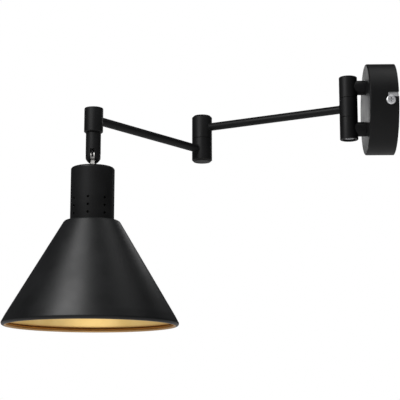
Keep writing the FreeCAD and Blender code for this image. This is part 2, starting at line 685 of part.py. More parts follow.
def elbow_on_outer_arm():
    """The elbow's lower half, which turns on the hollow pivot, and its lid."""
    seam = f"{ELBOW_MIDDLE} - {ELBOW_SEAM_HALF}"
    bore = "nipple_radius + hinge_gap"
    web_end = f"{seam} - elbow_web"
    elbow_barrel("elbow_lower_barrel", ELBOW_ON_OUTER, ELBOW_FOOT, seam, web_end, bore, "outer_level", "+X")
    lid = ring_corners("0", "elbow_cavity + 0.4", ELBOW_FOOT, f"{ELBOW_FOOT} + elbow_lid")
    turned_piece("elbow_bottom_lid", ELBOW_ON_OUTER, lid)


def head_barrel():
    """The barrel at the outer arm's end: a web with the swivel's running bore, and a lid."""
    body = keep(new_body("head_barrel", HEAD_ON_OUTER))
    bore = "nipple_radius + hinge_gap"
    web_top = f"{HEAD_FOOT} + head_web"
    seat = f"{HEAD_TOP} - 2"
    barrel = revolve(body, [
        (bore, HEAD_FOOT), ("head_radius", HEAD_FOOT), ("head_radius", HEAD_TOP), ("head_cavity + 0.4", HEAD_TOP),
        ("head_cavity + 0.4", seat), ("head_cavity", seat), ("head_cavity", web_top), (bore, web_top),
    ])
    top = soften(body, "Fillet", rings(barrel, "head_radius", HEAD_TOP), "0.8")
    soften(body, "Chamfer", rings(top, "head_radius", HEAD_FOOT), "0.9")
    cut(body, circle(new_sketch(body, "YZ_Plane"), "arm_radius", "0", "outer_level"), "-X", "head_radius + 1")
    turned_piece("head_barrel_lid", HEAD_ON_OUTER, ring_corners("0", "head_cavity + 0.4", seat, HEAD_TOP))


def outer_arm_lead():
    pivot_foot = f"{ELBOW_MIDDLE} - {ELBOW_SEAM_HALF} - elbow_web"
    lead("outer_arm_lead", ELBOW_ON_OUTER, [
        ("0", "0", f"{pivot_foot} - 0.4"), ("0", "0", "outer_level"),
        ("arm_length", "0", "outer_level"), ("arm_length", "0", f"{SHAFT_TOP} - 1.5"),
    ], ["lead_bend", "lead_bend"])


# ---------------------------------------------------------------- swivel stem


def swivel_fork():
    """A bored stem with a round end, slotted front to back for the tongue."""
    body = keep(new_body("swivel_fork", HEAD))
    bore_end = "tilt_level + fork_depth - 1"
    stem = revolve(body, [
        ("0", "tilt_level - stem_radius", "ball"), ("stem_radius", "tilt_level"), ("stem_radius", STEM_TOP),
        ("nipple_radius", STEM_TOP), ("nipple_radius", SHAFT_TOP), ("stem_bore", SHAFT_TOP),
        ("stem_bore", bore_end), ("0", bore_end),
    ])
    soften(body, "Chamfer", rings(stem, "stem_radius", STEM_TOP), "0.4")
    slot = new_sketch(body, "YZ_Plane")
    cut(body, rectangle(slot, "-fork_slot / 2", "fork_slot / 2", "tilt_level - 20", "tilt_level + fork_depth"))
    cut(body, circle(new_sketch(body, "XZ_Plane"), "pivot_radius", "0", "tilt_level"))
    for side, toward in (("", "+Y"), ("-", "-Y")):
        seat = new_sketch(body, "XZ_Plane", f"{side}stem_radius")
        cut(body, circle(seat, "pivot_head + 0.2", "0", "tilt_level"), toward, "2.3")


def swivel_fittings():
    """The nut and washers that hold the stem in the head barrel, and the two screws of the tilt pivot."""
    web_top = f"{HEAD_FOOT} + head_web"
    washer = ring_corners("nipple_radius", "6.8", f"{web_top} + hinge_gap", f"{web_top} + hinge_gap + 0.6")
    turned_piece("swivel_washer", HEAD, washer)
    nut = keep(new_body("swivel_nut", HEAD))
    sketch = new_sketch(nut, "XY_Plane", f"{web_top} + hinge_gap + 0.6")
    hexagon(sketch, "12.4")
    circle(sketch, "nipple_radius")
    pad(nut, sketch, "2.4")
    seam_washer = ring_corners("nipple_radius", "stem_radius - 0.8", STEM_TOP, f"{STEM_TOP} + washer_thickness")
    turned_piece("swivel_seam_washer", HEAD, seam_washer)
    screw = new_body("tilt_screw", HEAD)
    seat = "stem_radius - 2.3"
    pad(screw, circle(new_sketch(screw, "XZ_Plane", seat), "pivot_head", "0", "tilt_level"), "1.9")
    cross_recess(screw, f"{seat} + 1.9", 1.7, 0.35, "+Y", "1.2", "XZ_Plane", "0", "tilt_level")
    shank = circle(new_sketch(screw, "XZ_Plane", seat), "pivot_radius", "0", "tilt_level")
    pad(screw, shank, f"{seat} - 1.35", reverse=True)
    with_twin("tilt_screws", screw, Vector(0, 1, 0), ("0", HEAD_Y, "0"))


def stem_lead():
    lead("stem_lead", HEAD, [("0", "0", f"{SHAFT_TOP} - 2.2"), ("0", "0", "tilt_level + 1")], [])


# ---------------------------------------------------------------- lamp head


def tilt_tongue():
    """The flat eye in the stem's slot, with a foot on the cup and a hollow threaded shank below."""
    body = keep(new_body("tilt_tongue", HEAD))
    foot = "cup_top + 1.2"
    neck = "tongue_neck / 2"
    pad(body, circle(new_sketch(body, "XZ_Plane"), "tongue_radius", "0", "tilt_level"), "tongue_width", both_ways=True)
    sketch = rectangle(new_sketch(body, "XZ_Plane"), f"-{neck}", neck, f"{foot} - 0.6", "tilt_level")
    pad(body, sketch, "tongue_width", both_ways=True)
    revolve(body, [
        ("0", "holder_top - 4"), ("nipple_radius", "holder_top - 4"), ("nipple_radius", "cup_top"),
        ("6.2", "cup_top"), ("6.2", foot), ("0", foot),
    ])
    bore = "lead_radius + 0.35"
    cut(body, circle(new_sketch(body, "XY_Plane", "tilt_level - 1.4"), bore), "-Z")
    channel = new_sketch(body, "YZ_Plane")
    cut(body, rectangle(channel, f"-({bore})", bore, "tilt_level - 1.4", "tilt_level + 10"))
    cut(body, circle(new_sketch(body, "XZ_Plane"), "pivot_radius + 0.06", "0", "tilt_level"))


def socket_cup():
    """A deep cup with rows of vent holes, and the washer and nut that clamp it to the tongue."""
    body = keep(new_body("socket_cup", VENTED))
    inner = "cup_radius - cup_metal"
    top_inside = "cup_top - cup_metal"
    cup = revolve(body, [
        ("nipple_radius + 0.1", "cup_top"), ("cup_radius", "cup_top"), ("cup_radius", "cup_foot"),
        (inner, "cup_foot"), (inner, top_inside), ("nipple_radius + 0.1", top_inside),
    ])
    soften(body, "Fillet", rings(cup, "cup_radius", "cup_top"), "cup_round")
    vents = new_sketch(body, "YZ_Plane")
    for level in VENT_LEVELS:
        circle(vents, "vent_radius", "0", level)
    around(body, cut(body, vents, "+X"), "vent_columns")
    washer = ring_corners("nipple_radius", "8.5", f"{top_inside} - 0.8", top_inside)
    turned_piece("cup_lock_washer", HEAD, washer)
    nut = keep(new_body("cup_nut", HEAD))
    sketch = new_sketch(nut, "XY_Plane", f"{top_inside} - 0.8")
    hexagon(sketch, "nut_flats")
    circle(sketch, "nipple_radius")
    pad(nut, sketch, "3.2", reverse=True)


def lampholder():
    """The two-part lampholder: cap, skirt, contact base, screw shell, centre contact and screws."""
    cap_room = "holder_radius - 3"
    turned_piece("lampholder_cap", HEAD, [
        ("nipple_radius", "holder_top - 4"), ("11", "holder_top - 4"), (cap_room, "holder_top - 8"),
        (cap_room, "holder_split"), ("holder_radius", "holder_split"), ("holder_radius", "holder_top - 6"),
        ("12.5", "holder_top"), ("nipple_radius", "holder_top"),
    ])
    skirt = ring_corners("holder_bore", "holder_radius", "holder_foot", "holder_split")
    turned_piece("lampholder_skirt", HEAD, skirt)
    base = keep(new_body("lampholder_base", HEAD))
    base_top = "contact_level + 9"
    revolve(base, [
        ("0", "contact_level"), ("12", "contact_level"), ("12", "shell_level"), ("holder_bore", "shell_level"),
        ("holder_bore", base_top), ("0", base_top),
    ])
    screws = []
    for side in ("", "-"):
        cut(base, circle(new_sketch(base, "XY_Plane", base_top), "1.6", "0", f"{side}8"), "-Z", "6")
        screw = doc.addObject("Part::Cylinder", "holder_screw")
        screw.Radius = 1.6
        screw.Height = 5.5
        place(screw, (HEAD_X, f"{HEAD_Y} + {side}8", "hinge_level", "0"), "contact_level + 5")
        screws.append(screw)
    group("lampholder_terminal_screws", screws)
    shell = ring_corners("shell_radius", "shell_radius + shell_metal", "shell_level - shell_length", "shell_level")
    turned_piece("lampholder_shell", HEAD, shell)
    contact = keep(new_body("lampholder_centre_contact", HEAD))
    tip = "contact_level - 3.5"
    strip = outline(new_sketch(contact, "XZ_Plane"), [
        ("-9", "contact_level"), ("-9", "contact_level - 0.6"), ("-5", "contact_level - 0.6"),
        ("-2", tip), ("3", tip), ("3", f"{tip} + 0.6"), ("-1.6", f"{tip} + 0.6"), ("-4.6", "contact_level"),
    ])
    pad(contact, strip, "5", both_ways=True)


def shade():
    """A spun cone with a flat top, a rounded shoulder and a bead rolled inside its rim."""
    body = keep(new_body("shade", HEAD))
    hem_radius = "shade_radius - hem_depth"
    hem_top = "shade_foot + hem_height"
    slope = "((shade_radius - shade_shoulder) / (cup_foot - shade_foot))"
    wall = f"(shade_metal * sqrt(1 + {slope}^2))"
    inner_shoulder = f"shade_shoulder + shade_metal * {slope} - {wall}"
    inner_at_hem = f"shade_shoulder + {slope} * (cup_foot - ({hem_top})) - {wall}"
    spun = revolve(body, [
        ("shade_hole", "cup_foot"), ("shade_hole", "cup_foot - shade_metal"),
        (inner_shoulder, "cup_foot - shade_metal"), (inner_at_hem, hem_top), (hem_radius, hem_top),
        (hem_radius, "shade_foot"), ("shade_radius", "shade_foot"), ("shade_shoulder", "cup_foot"),
    ])
    rounded = soften(body, "Fillet", rings(spun, "shade_shoulder", "cup_foot"), "shade_round")
    inside = rings(rounded, inner_shoulder, "cup_foot - shade_metal")
    rounded = soften(body, "Fillet", inside, "shade_round - shade_metal")
    rounded = soften(body, "Fillet", rings(rounded, "shade_radius", "shade_foot"), "rim_round")
    bead = rings(rounded, hem_radius, "shade_foot") + rings(rounded, hem_radius, hem_top)
    soften(body, "Fillet", bead, "hem_round")
    ring_top = "cup_foot - shade_metal"
    turned_piece("shade_ring", HEAD, [
        ("holder_radius", ring_top), ("holder_radius", f"{ring_top} - 6"), ("22", f"{ring_top} - 6"),
        ("22", f"{ring_top} - 2.4"), ("ring_radius", f"{ring_top} - 2.4"), ("ring_radius", ring_top),
    ])


def head_lead():
    lead("head_lead", HEAD, [("0", "0", "tilt_level - 1"), ("0", "0", "contact_level + 9")], [])


# ---------------------------------------------------------------- the whole sconce


def check_document():
    doc.recompute()
    for item in doc.Objects:
        if {"Invalid", "Error"} & set(item.State):
            raise RuntimeError(f"{item.Name}: {item.State}")
    for node in NODES:
        if node.Shape.isNull() or not node.Shape.isValid() or not node.Shape.Solids:
            raise RuntimeError(f"{node.Label}: bad shape")


def main():
    fill_sheet()
    wall_bracket()
    canopy_cup()
    canopy_side_screws()
    terminal_block()
    earth_screw()
    standoff("upper_standoff", "standoff_level")
    standoff("lower_standoff", "-standoff_level")
    standoff_nipples()
    standoff_washers_and_nuts()
    upper_knuckle()
    lower_knuckle()
    hinge_pins()
    wall_lead()
    inner_knuckle()
    arm_tube("inner_arm_tube", INNER_TURN, "0", "-hinge_offset", "0", "7.2", "elbow_radius - 2.2")
    elbow_on_inner_arm()
    inner_arm_lead()
    elbow_on_outer_arm()
    arm_tube("outer_arm_tube", OUTER_TURN, ELBOW_X, ELBOW_Y, "outer_level", "elbow_radius - 2.2", "7.2")
    head_barrel()
    outer_arm_lead()
    swivel_fork()
    swivel_fittings()
    stem_lead()
    tilt_tongue()
    socket_cup()
    lampholder()
    shade()
    head_lead()
    check_document()
    os.makedirs("parts", exist_ok=True)
    for node in NODES:
        node.Shape.exportStep(f"parts/{node.Label}.step")
        print(f"{node.Label}: {len(node.Shape.Solids)} solids, {node.Shape.Volume / 1000:.3f} cm3")


main()
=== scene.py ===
import json
import math

import bmesh
import bpy
from mathutils import Matrix, Vector, noise


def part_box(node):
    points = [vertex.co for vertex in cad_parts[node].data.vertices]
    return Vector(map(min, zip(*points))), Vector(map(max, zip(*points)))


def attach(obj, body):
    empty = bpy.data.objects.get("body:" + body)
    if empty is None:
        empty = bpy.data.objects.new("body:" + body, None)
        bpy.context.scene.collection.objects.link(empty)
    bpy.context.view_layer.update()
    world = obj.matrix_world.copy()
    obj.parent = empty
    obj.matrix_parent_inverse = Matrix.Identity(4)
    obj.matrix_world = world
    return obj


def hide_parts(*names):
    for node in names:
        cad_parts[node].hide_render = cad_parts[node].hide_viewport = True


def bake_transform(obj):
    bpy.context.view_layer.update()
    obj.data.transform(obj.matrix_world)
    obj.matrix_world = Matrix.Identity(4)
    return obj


# Swing arm wall sconce, metres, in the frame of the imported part: +Z up, +Y into the wall.

MM = 0.001
WHITE = (1, 1, 1, 1)

# shade profile: hole and shoulder at the top, a slight turn near the foot, and a bead inside the rim
SHADE_HOLE = 19.7 * MM
HOLE_ROUND = 0.2 * MM
SHADE_SHOULDER = 28.5 * MM
SHADE_METAL = 1.2 * MM
SHOULDER_ROUND = 4 * MM
RIM_CORNER = 92.4 * MM
RIM_ROUND = 2.5 * MM
TURN_HEIGHT = 11 * MM
TURN_ROUND = 60 * MM
TURN_REACH = 0.25 * MM
TURN_SWELL = 0.3 * MM
BEAD_DEPTH = 7.2 * MM
BEAD_HEIGHT = 3.8 * MM
BEAD_ROUND = 1.8 * MM
BEAD_CREASE = 0.5 * MM
# painted shadow: height of the dark band on the wall just above the bead, where shade falls in the crease
PAINTED_CREASE_SHADOW_HEIGHT = 1.3 * MM
SHADE_STEPS = 288

# weld beads where the arms meet the barrels
ARM_RADIUS = 4.55 * MM
WELD_RADIUS = 0.62 * MM
WELD_STEPS = 72
WELD_SIDES = 10
WELD_RIPPLES = 17
WELD_RIPPLE = 0.16
WELD_UNEVEN = 0.22
WELD_GRAIN = 900

# lead in the fork
LEAD_OVERLAP = 0.4 * MM
LEAD_STEPS = 12
LEAD_SIDES = 24

# powder coat: texture scales in features per metre, then depths and colours
COAT_CLOUDS = 38
COAT_PEEL = 1250
COAT_DUST = 2600
# scale of the patches on the rubbed edges, partly wear and partly a painted highlight
COAT_RUBBING_AND_SHEEN = 420
COAT_EDGE = 0.35 * MM
PEEL_DEPTH = 0.02 * MM
DUST_COLOUR = (0.16, 0.16, 0.155)
# lighter colour on the edges: partly wear, partly a painted edge highlight
RUBBED_AND_SHEEN_COLOUR = (0.10, 0.10, 0.10)

# plated metal
METAL_CLOUDS = 160
METAL_LINES = 2100
LINE_STRETCH = (1, 1, 14)
METAL_SPOTS = 520
METAL_EDGE = 0.2 * MM
LINE_DEPTH = 0.004 * MM
# reach of the painted shade in recesses and corners
RECESS_SHADE_REACH = 1.6 * MM

# moulded plastic and ceramic
MOULD_CLOUDS = 90
MOULD_GRAIN = 1900
MOULD_EDGE = 0.3 * MM
GRAIN_DEPTH = 0.015 * MM

# gold paint; the spinning rings are a sine, in radians per metre of height
PAINT_CLOUDS = 30
PAINT_FLAKES = 3800
RING_RATE = 2900.0
FLAKE_DEPTH = 0.008 * MM

# studio floor, which is partly lit from within so that it stays pale in every view
FLOOR_LEVEL = -0.62
FLOOR_SIZE = 60.0
FLOOR_GLOW = 0.40
FLOOR_CLOUDS = 3
FLOOR_GRAIN = 260
FLOOR_ROUGHNESS = 0.6
FLOOR_DEPTH = 0.05 * MM

# room, as rays other than the camera's see it
BRIGHT_WAY = (0.8, 0.0, -0.6)
DIM_END = 0.40
DIM_COLOUR = (0.05, 0.05, 0.052, 1)
BRIGHT_END = 0.92
BRIGHT_COLOUR = (0.38, 0.38, 0.385, 1)

# softboxes: the key and the fill face the shade, the panel faces the canopy, the glow faces up
KEY_TOWARDS = (0.52, -0.33, 0.74)
KEY_REACH = 0.62
KEY_SIZE = 0.28
KEY_POWER = 2.6
FILL_TOWARDS = (0.03, 0.53, 0.85)
FILL_REACH = 0.60
FILL_SIZE = 0.26
FILL_POWER = 0.3
PANEL_OFFSET = (-0.36, -0.06, 0.10)
PANEL_SIZE = 0.13
PANEL_POWER = 0.135
GLOW_FORWARD = 0.24
GLOW_LIFT = 0.02
GLOW_WIDTH = 0.36
GLOW_HEIGHT = 0.34
GLOW_POWER = 0.26

# camera, from the photograph's viewing angle
CAMERA_PLACE = (1.28729, -0.17703, -0.34013)
CAMERA_PITCH = 0.18439
CAMERA_YAW = -0.02773
CAMERA_NEAR = 0.02
FOCAL_PIXELS = 1201.57
FRAME_PIXELS = 400
SENSOR = 36.0


# ---------------------------------------------------------------- materials


class Nodes:
    """A material's node tree, with short calls to add and join nodes."""

    def __init__(self, name):
        self.material = bpy.data.materials.new(name)
        self.material.use_nodes = True
        self.tree = self.material.node_tree
        self.tree.nodes.clear()
        self.output = self.tree.nodes.new("ShaderNodeOutputMaterial")
        self.place = self.add("ShaderNodeTexCoord").outputs["Object"]

    def add(self, kind, **settings):
        node = self.tree.nodes.new(kind)
        for key, setting in settings.items():
            setattr(node, key, setting)
        return node

    def feed(self, socket, source):
        """Link a socket to another socket, or set it to a constant."""
        if isinstance(source, bpy.types.NodeSocket):
            self.tree.links.new(source, socket)
        else:
            socket.default_value = source

    def noise(self, scale, detail=3.0, rough=0.55, stretch=None):
        """Noise at `scale` features per metre, stretched along the axes if asked."""
        node = self.add("ShaderNodeTexNoise")
        node.inputs["Scale"].default_value = scale
        node.inputs["Detail"].default_value = detail
        node.inputs["Roughness"].default_value = rough
        place = self.place
        if stretch:
            mapping = self.add("ShaderNodeMapping")
            mapping.inputs["Scale"].default_value = stretch
            self.feed(mapping.inputs["Vector"], place)
            place = mapping.outputs["Vector"]
        self.feed(node.inputs["Vector"], place)
        return node.outputs["Fac"]

    def ramp(self, source, low, high, to_low=0.0, to_high=1.0):
        """Stretch the range low..high of a value to to_low..to_high."""
        node = self.add("ShaderNodeMapRange")
        limits = (("From Min", low), ("From Max", high), ("To Min", to_low), ("To Max", to_high))
        for name, number in limits:
            node.inputs[name].default_value = number
        self.feed(node.inputs["Value"], source)
        return node.outputs["Result"]

    def math(self, operation, a, b=0.0):
        """A maths node. Sums and differences are kept within 0..1."""
        node = self.add("ShaderNodeMath", operation=operation, use_clamp=operation in ("ADD", "SUBTRACT"))
        self.feed(node.inputs[0], a)
        self.feed(node.inputs[1], b)
        return node.outputs["Value"]

    def blend(self, factor, a, b):
        node = self.add("ShaderNodeMix", data_type="RGBA")
        self.feed(node.inputs["Factor"], factor)
        self.feed(node.inputs["A"], a if isinstance(a, bpy.types.NodeSocket) else (*a, 1.0))
        self.feed(node.inputs["B"], b if isinstance(b, bpy.types.NodeSocket) else (*b, 1.0))
        return node.outputs["Result"]

    def edges(self, radius, sharpest=0.25):
        """A mask that is 1 on the sharp edges, and the normals rounded over them."""
        bevel = self.add("ShaderNodeBevel", samples=4)
        bevel.inputs["Radius"].default_value = radius
        product = self.add("ShaderNodeVectorMath", operation="DOT_PRODUCT")
        self.feed(product.inputs[0], bevel.outputs["Normal"])
        self.feed(product.inputs[1], self.add("ShaderNodeNewGeometry").outputs["Normal"])
        return self.ramp(product.outputs["Value"], 1.0, 1.0 - sharpest), bevel.outputs["Normal"]

    def painted_recess_shade(self, reach):
        """A mask that is 1 deep in slots and corners, for the painted shade there."""
        shelter = self.add("ShaderNodeAmbientOcclusion", samples=8)
        shelter.inputs["Distance"].default_value = reach
        return self.ramp(shelter.outputs["AO"], 0.75, 0.30)

    def bump(self, height, depth, normal=None):
        node = self.add("ShaderNodeBump")
        node.inputs["Distance"].default_value = depth
        self.feed(node.inputs["Height"], height)
        if normal is not None:
            self.feed(node.inputs["Normal"], normal)
        return node.outputs["Normal"]

    def surface(self, colour, roughness, normal, **constants):
        """Finish the material. Each constant names a socket of the shader, with _ for a space."""
        shader = self.add("ShaderNodeBsdfPrincipled")
        self.feed(shader.inputs["Base Color"], colour)
        self.feed(shader.inputs["Roughness"], roughness)
        self.feed(shader.inputs["Normal"], normal)
        for name, constant in constants.items():
            shader.inputs[name.replace("_", " ")].default_value = constant
        self.feed(self.output.inputs["Surface"], shader.outputs["BSDF"])
        return self.material


def powder_coat(name, dark, light, rough_low, rough_high, index):
    """Satin powder coat: orange peel, faint clouds, a little dust, and lighter rubbed edges that are partly
    wear and partly a painted highlight.
    """
    nodes = Nodes(name)
    clouds = nodes.noise(COAT_CLOUDS, 4)
    peel = nodes.noise(COAT_PEEL, 2, 0.4)
    dust = nodes.ramp(nodes.noise(COAT_DUST, 1, 0.5), 0.70, 0.78)
    edge, rounded = nodes.edges(COAT_EDGE)
    # rubbed edges: patchy lighter colour on the sharp edges, partly wear and partly a painted highlight
    rubbed_and_sheen = nodes.math("MULTIPLY", edge, nodes.ramp(nodes.noise(COAT_RUBBING_AND_SHEEN, 4), 0.46, 0.66, 0.05, 0.5))
    colour = nodes.blend(nodes.ramp(clouds, 0.35, 0.65), dark, light)
    colour = nodes.blend(nodes.math("MULTIPLY", dust, 0.16), colour, DUST_COLOUR)
    colour = nodes.blend(nodes.math("MULTIPLY", rubbed_and_sheen, 0.35), colour, RUBBED_AND_SHEEN_COLOUR)
    gloss = nodes.ramp(clouds, 0.3, 0.7, rough_low, rough_high)
    gloss = nodes.math("SUBTRACT", gloss, nodes.math("MULTIPLY", edge, 0.05))
    gloss = nodes.math("ADD", gloss, nodes.math("MULTIPLY", dust, 0.2))
    return nodes.surface(colour, gloss, nodes.bump(peel, PEEL_DEPTH, rounded), IOR=index)


def plated_metal(name, tint, dull, rough_low, rough_high, recess_shade=0.85):
    """Plated or bare metal: fine drawn lines, cloudy plating, duller spots and painted shade in the corners
    and recesses.
    """
    nodes = Nodes(name)
    clouds = nodes.noise(METAL_CLOUDS, 5, 0.6)
    lines = nodes.noise(METAL_LINES, 3, 0.6, LINE_STRETCH)
    spots = nodes.ramp(nodes.noise(METAL_SPOTS, 3), 0.62, 0.72)
    _, rounded = nodes.edges(METAL_EDGE)
    spotted = tuple(c * 0.55 for c in dull)
    # colour of the painted shade in recesses and corners
    recess_shade_colour = tuple(c * 0.12 for c in dull)
    colour = nodes.blend(nodes.ramp(clouds, 0.3, 0.7), tint, dull)
    colour = nodes.blend(nodes.math("MULTIPLY", spots, 0.4), colour, spotted)
    # painted shade: the colour darkens where ambient occlusion finds recesses and corners
    colour = nodes.blend(nodes.math("MULTIPLY", nodes.painted_recess_shade(RECESS_SHADE_REACH), recess_shade), colour, recess_shade_colour)
    gloss = nodes.ramp(clouds, 0.3, 0.7, rough_low, rough_high)
    gloss = nodes.math("ADD", gloss, nodes.ramp(lines, 0.4, 0.6, -0.05, 0.07))
    gloss = nodes.math("ADD", gloss, nodes.math("MULTIPLY", spots, 0.15))
    return nodes.surface(colour, gloss, nodes.bump(lines, LINE_DEPTH, rounded), Metallic=1.0)


def moulded(name, dark, light, rough_low, rough_high, **constants):
    """Moulded plastic or glazed ceramic: a fine grain, clouds and softened edges."""
    nodes = Nodes(name)
    clouds = nodes.noise(MOULD_CLOUDS, 4)
    grain = nodes.noise(MOULD_GRAIN, 2)
    _, rounded = nodes.edges(MOULD_EDGE)
    shadow = tuple(c * 0.6 for c in dark)
    colour = nodes.blend(nodes.ramp(clouds, 0.3, 0.7), dark, light)
    colour = nodes.blend(nodes.ramp(grain, 0.62, 0.8, 0.0, 0.25), colour, shadow)
    mixed = nodes.math("ADD", nodes.math("MULTIPLY", clouds, 0.6), nodes.math("MULTIPLY", grain, 0.4))
    gloss = nodes.ramp(mixed, 0.3, 0.7, rough_low, rough_high)
    return nodes.surface(colour, gloss, nodes.bump(grain, GRAIN_DEPTH, rounded), **constants)


def gold_paint(name, bright, deep, rough_low, rough_high):
    """Sprayed gold paint on spun metal: flakes, faint spinning rings and clouds."""
    nodes = Nodes(name)
    clouds = nodes.noise(PAINT_CLOUDS, 4)
    flakes = nodes.noise(PAINT_FLAKES, 1, 0.3)
    level = nodes.add("ShaderNodeSeparateXYZ")
    nodes.feed(level.inputs["Vector"], nodes.place)
    rings = nodes.math("SINE", nodes.math("MULTIPLY", level.outputs["Z"], RING_RATE))
    glint = tuple(min(1.0, c * 1.25) for c in bright)
    colour = nodes.blend(nodes.ramp(clouds, 0.35, 0.65), deep, bright)
    colour = nodes.blend(nodes.ramp(flakes, 0.60, 0.75, 0.0, 0.35), colour, glint)
    gloss = nodes.ramp(flakes, 0.35, 0.65, rough_low, rough_high)
    height = nodes.math("ADD", nodes.ramp(flakes, 0.2, 0.8, 0.0, 0.6), nodes.ramp(rings, -1, 1, 0.0, 0.4))
    return nodes.surface(colour, gloss, nodes.bump(height, FLAKE_DEPTH), Metallic=0.9)


def make_materials():
    """Each finish by name, with its two colours and then the range of its roughness."""
    return {
        "black_coat": powder_coat(
            "black_coat", (0.0030, 0.0031, 0.0033), (0.0052, 0.0054, 0.0058), 0.44, 0.54, 1.31
        ),
        "shade_coat": powder_coat(
            "shade_coat", (0.0066, 0.0070, 0.0074), (0.0100, 0.0105, 0.0111), 0.40, 0.48, 1.38
        ),
        "zinc_steel": plated_metal("zinc_steel", (0.95, 0.95, 0.96), (0.84, 0.85, 0.87), 0.30, 0.46),
        # nickel takes only a little of the painted shade in its recesses
        "nickel": plated_metal("nickel", (0.64, 0.63, 0.61), (0.54, 0.53, 0.51), 0.38, 0.46, recess_shade=0.2),
        "black_screw": plated_metal("black_screw", (0.05, 0.05, 0.052), (0.025, 0.025, 0.027), 0.26, 0.40),
        "brass": plated_metal("brass", (0.78, 0.57, 0.26), (0.62, 0.43, 0.18), 0.22, 0.38),
        "nylon": moulded("nylon", (0.012, 0.012, 0.012), (0.02, 0.02, 0.02), 0.45, 0.6),
        "white_plastic": moulded("white_plastic", (0.72, 0.71, 0.68), (0.80, 0.79, 0.76), 0.35, 0.5),
        "black_plastic": moulded("black_plastic", (0.012, 0.012, 0.013), (0.022, 0.022, 0.023), 0.3, 0.46),
        "ceramic": moulded("ceramic", (0.72, 0.69, 0.62), (0.82, 0.80, 0.74), 0.12, 0.28, Coat_Weight=0.5),
        "lead_sheath": moulded("lead_sheath", (0.016, 0.016, 0.017), (0.03, 0.03, 0.031), 0.4, 0.58),
        "gold_inside": gold_paint("gold_inside", (0.92, 0.66, 0.27), (0.84, 0.57, 0.20), 0.30, 0.42),
        # painted shadow: dark brown gold paint for the crease above the bead
        "gold_crease_painted_shadow": gold_paint("gold_crease_painted_shadow", (0.30, 0.15, 0.05), (0.20, 0.09, 0.03), 0.5, 0.65),
        "gold_bead": gold_paint("gold_bead", (0.58, 0.36, 0.16), (0.46, 0.27, 0.11), 0.42, 0.56),
    }


# ---------------------------------------------------------------- pieces


def mesh_object(name, bm, materials):
    mesh = bpy.data.meshes.new(name)
    bm.normal_update()
    bm.to_mesh(mesh)
    bm.free()
    mesh.shade_smooth()
    for material in materials:
        mesh.materials.append(material)
    piece = bpy.data.objects.new(name, mesh)
    bpy.context.scene.collection.objects.link(piece)
    return piece


def middle(node):
    low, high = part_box(node)
    return (low + high) / 2


def finish_nodes(nodes, record, materials):
    """Give every CAD node the material of its slot."""
    slots = {part["node"]: part["material_slot"] for part in record["subparts"]}
    for name, node in nodes.items():
        node.data.materials.clear()
        node.data.materials.append(materials[slots[name]])


def rounded_outline(corners, arc_steps=10, hold=0.35 * MM):
    """A closed outline of (x, z, kind) points, from corners (x, z, radius, kind) joined by straight lines.

    Each arc has a point `hold` before it and after it, which keeps the shading of the straights flat.
    """
    outline = []
    for i, (x, z, radius, kind) in enumerate(corners):
        if not radius:
            outline.append((x, z, kind))
            continue
        here = Vector((x, z))
        before = Vector(corners[i - 1][:2]) - here
        after = Vector(corners[(i + 1) % len(corners)][:2]) - here
        inside = before.angle(after)
        reach = radius / math.tan(inside / 2)
        start = before.normalized()
        end = after.normalized()
        centre = here + (start + end).normalized() * radius / math.sin(inside / 2)
        first = here + start * reach - centre
        last = here + end * reach - centre
        sweep = first.angle_signed(last)
        outline.append((*(here + start * (reach + hold)), kind))
        for step in range(arc_steps + 1):
            turned = Matrix.Rotation(-sweep * step / arc_steps, 2) @ first
            outline.append((*(centre + turned), kind))
        outline.append((*(here + end * (reach + hold)), kind))
    return outline


def lathe(outline, centre, steps):
    """Spin a closed outline of (radius, level, kind) about an upright axis; kind is a face's material."""
    bm = bmesh.new()
    columns = []
    for step in range(steps):
        turn = 2 * math.pi * step / steps
        columns.append([
            bm.verts.new((centre[0] + r * math.cos(turn), centre[1] + r * math.sin(turn), z))
            for r, z, _ in outline
        ])
    count = len(outline)
    for step in range(steps):
        this = columns[step]
        after = columns[(step + 1) % steps]
        for i in range(count):
            j = (i + 1) % count
            face = bm.faces.new((this[i], after[i], after[j], this[j]))
            face.material_index = outline[i][2]
    return bm


